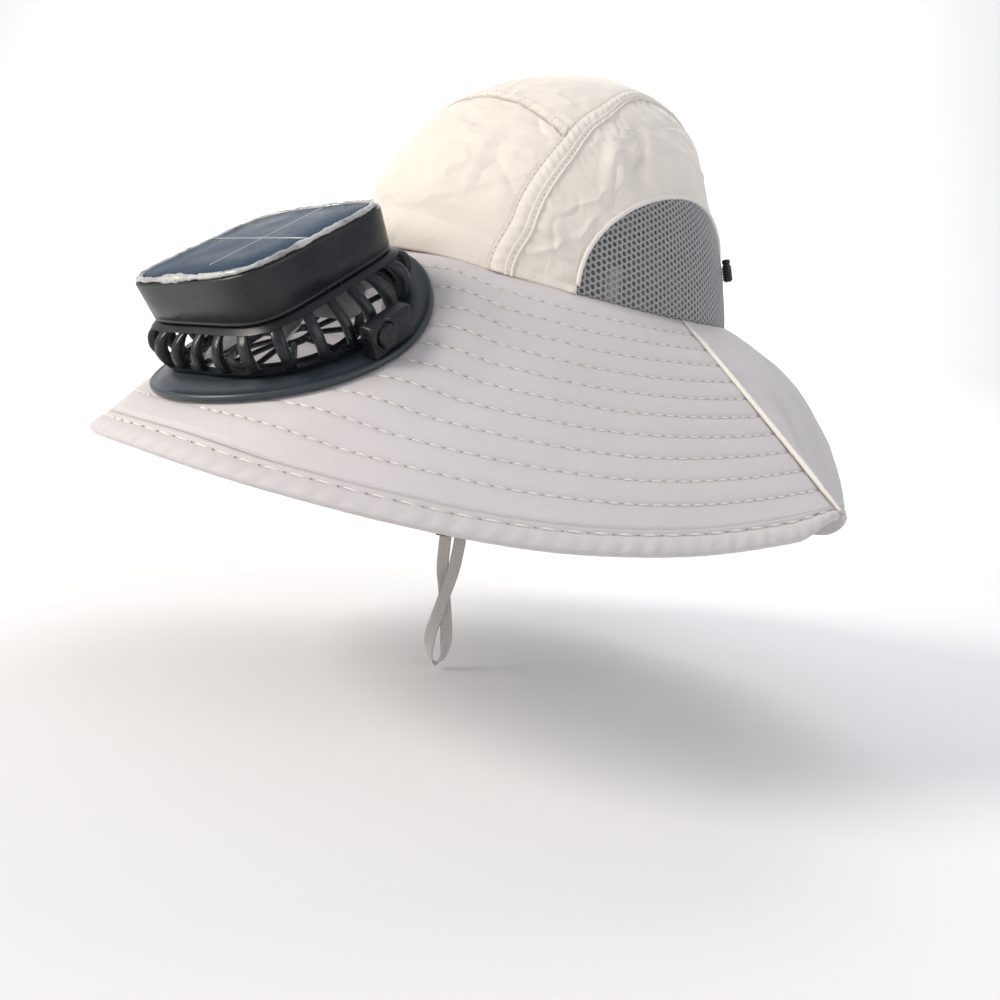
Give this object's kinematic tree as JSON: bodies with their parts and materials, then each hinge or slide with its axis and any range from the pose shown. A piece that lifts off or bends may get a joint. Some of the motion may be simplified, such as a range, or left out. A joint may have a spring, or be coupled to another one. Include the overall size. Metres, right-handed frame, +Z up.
{
  "type": "solar fan hat",
  "caption": "Wide-brim cloth sun hat with mesh side windows, a stitched brim, a chin strap and a solar-powered fan set into the front of the brim.",
  "frame": {"origin": "the middle of the head opening, in the plane where crown and brim are sewn together", "axes": "+Z up through the crown, -Y the front of the hat where the fan is, +X the wearer's left"},
  "size_m": [0.3619, 0.3991, 0.3034],
  "materials": {
    "crown_cloth": "pale beige woven polyester, soft sheen",
    "brim_cloth": "pale beige woven polyester over a thin stiffener, stitched in rows",
    "piping": "folded cloth piping, light beige",
    "mesh_net": "grey knitted net, matte",
    "strap_webbing": "grey-beige flat ribbon, matte",
    "black_plastic": "black moulded plastic, satin",
    "blade_plastic": "grey moulded plastic",
    "solar_cell": "dark blue cell under clear resin, glossy",
    "sealant": "whitish clear silicone bead, wet look",
    "motor_steel": "plain motor can"
  },
  "bodies": {
    "hat": {"crown_front_panel": "crown_cloth", "crown_top_panel": "crown_cloth", "crown_back_panel": "crown_cloth", "crown_side_panel_left": "crown_cloth", "crown_side_panel_right": "crown_cloth", "crown_seam_band_left": "crown_cloth", "crown_seam_band_right": "crown_cloth", "mesh_insert_left": "mesh_net", "mesh_insert_right": "mesh_net", "mesh_piping_left": "piping", "mesh_piping_right": "piping", "brim_side_piping_left": "piping", "brim_side_piping_right": "piping", "brim_front": "brim_cloth", "brim_hem": "brim_cloth", "brim_rear": "brim_cloth", "brim_rear_hem": "brim_cloth", "fan_flange": "black_plastic", "fan_cage": "black_plastic", "solar_box": "black_plastic", "solar_panel": "solar_cell", "panel_sealant": "sealant", "fan_outlet_guard": "black_plastic", "fan_motor": "motor_steel", "switch_housing": "black_plastic", "size_toggle": "black_plastic", "chin_strap": "strap_webbing", "strap_slider": "black_plastic"},
    "rotor": {"fan_rotor": "blade_plastic"},
    "button": {"switch_button": "black_plastic"}
  },
  "joints": [
    {"name": "fan_spin", "type": "hinge", "parent": "hat", "child": "rotor", "pos_m": [-0.0013, -0.1535, -0.0378], "axis": [0.0279, -0.5748, 0.8178], "continuous": true},
    {"name": "switch_press", "type": "slide", "parent": "hat", "child": "button", "axis": [-0.9693, -0.195, 0.1499], "range_m": [0, 0.001], "stiffness_N_per_m": 400, "springref_m": -0.001}
  ]
}
